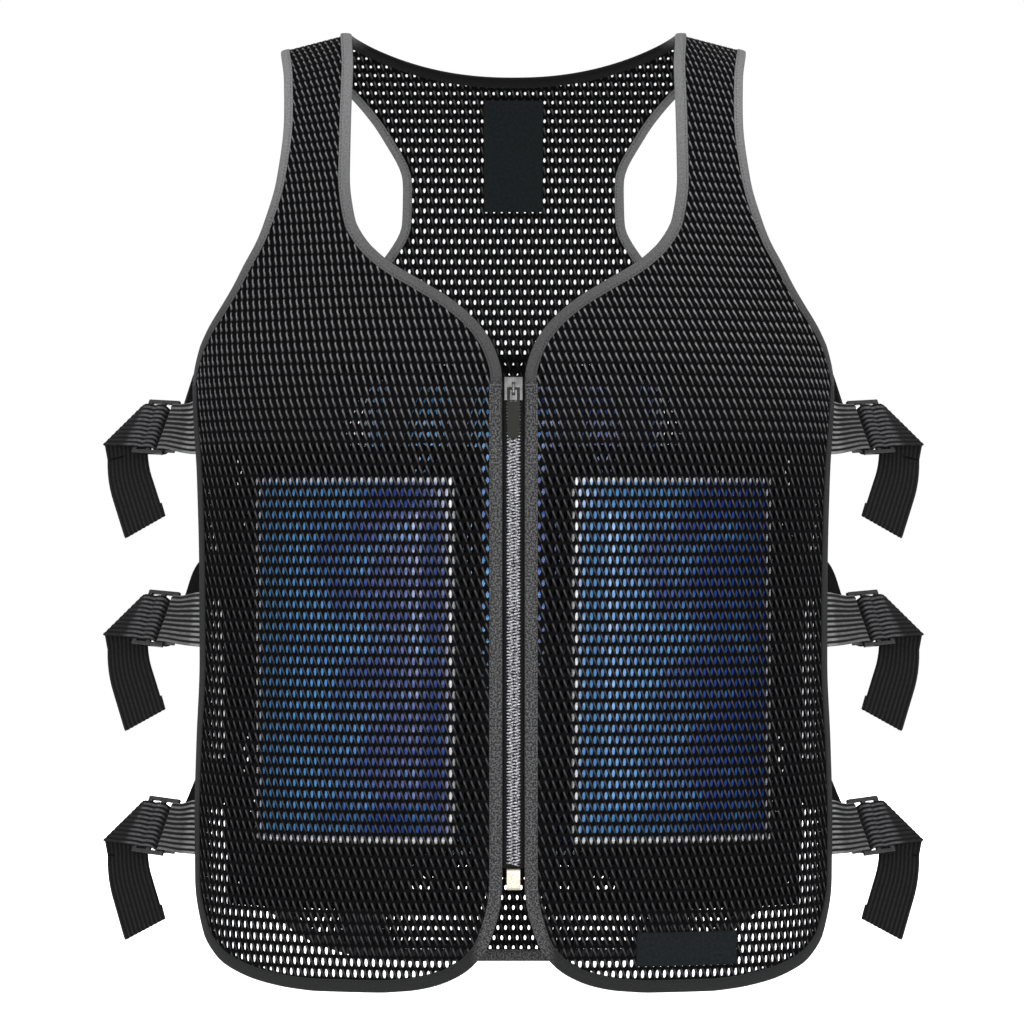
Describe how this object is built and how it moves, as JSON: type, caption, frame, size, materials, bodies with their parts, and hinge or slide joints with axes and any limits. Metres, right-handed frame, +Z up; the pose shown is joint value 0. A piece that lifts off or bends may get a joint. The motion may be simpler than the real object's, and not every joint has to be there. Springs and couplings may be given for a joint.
{
  "type": "cooling vest",
  "caption": "Sleeveless zip-front cooling vest of spacer mesh in its worn shape, with gel packs in inner pockets, bound edges and side straps through ladder-lock buckles.",
  "frame": {"origin": "on the shoulder ridge, midway between the undersides of the two shoulder straps", "axes": "+Z up, +X to the right of a viewer who faces the vest's front, front towards -Y"},
  "size_m": [0.5806, 0.2322, 0.6769],
  "materials": {
    "spacer_mesh": "matte knitted polyester spacer mesh",
    "grey_binding": "matte grey folded tape",
    "dark_binding": "matte charcoal folded tape",
    "zip_tape": "matte woven tape",
    "zip_coil": "satin nylon coil",
    "painted_zinc": "satin black",
    "nickel": "pale satin plating",
    "blue_film": "glossy blue film",
    "label_cloth": "plain dark woven cloth",
    "elastic": "ribbed elastic",
    "webbing": "ribbed flat webbing",
    "acetal": "satin black moulding"
  },
  "bodies": {
    "vest": {"front_panel_left": "spacer_mesh", "front_panel_right": "spacer_mesh", "back_panel": "spacer_mesh", "front_edge_binding_left": "dark_binding", "front_edge_binding_right": "dark_binding", "back_edge_binding": "dark_binding", "neck_binding": "grey_binding", "armhole_binding_left": "grey_binding", "armhole_binding_right": "grey_binding", "zip_tape_left": "zip_tape", "zip_tape_right": "zip_tape", "zip_chain": "zip_coil", "zip_slider": "painted_zinc", "zip_retainer": "nickel", "front_pack_left": "blue_film", "front_pack_right": "blue_film", "back_pack": "blue_film", "front_pocket_left": "spacer_mesh", "front_pocket_right": "spacer_mesh", "back_pocket": "spacer_mesh", "neck_label": "label_cloth", "hem_label": "label_cloth", "strap_buckle_upper_left": "acetal", "strap_buckle_middle_left": "acetal", "strap_buckle_lower_left": "acetal", "strap_buckle_upper_right": "acetal", "strap_buckle_middle_right": "acetal", "strap_buckle_lower_right": "acetal", "elastic_tab_upper_left": "elastic", "elastic_tab_middle_left": "elastic", "elastic_tab_lower_left": "elastic", "elastic_tab_upper_right": "elastic", "elastic_tab_middle_right": "elastic", "elastic_tab_lower_right": "elastic", "side_strap_upper_left": "webbing", "side_strap_middle_left": "webbing", "side_strap_lower_left": "webbing", "side_strap_upper_right": "webbing", "side_strap_middle_right": "webbing", "side_strap_lower_right": "webbing"},
    "zip_pull": {"zip_pull": "painted_zinc"}
  },
  "joints": [
    {"name": "zip_pull_hinge", "type": "hinge", "parent": "vest", "child": "zip_pull", "pos_m": [0, -0.12062, -0.2546], "axis": [-1, 0, 0], "range_deg": [0, 165]}
  ]
}
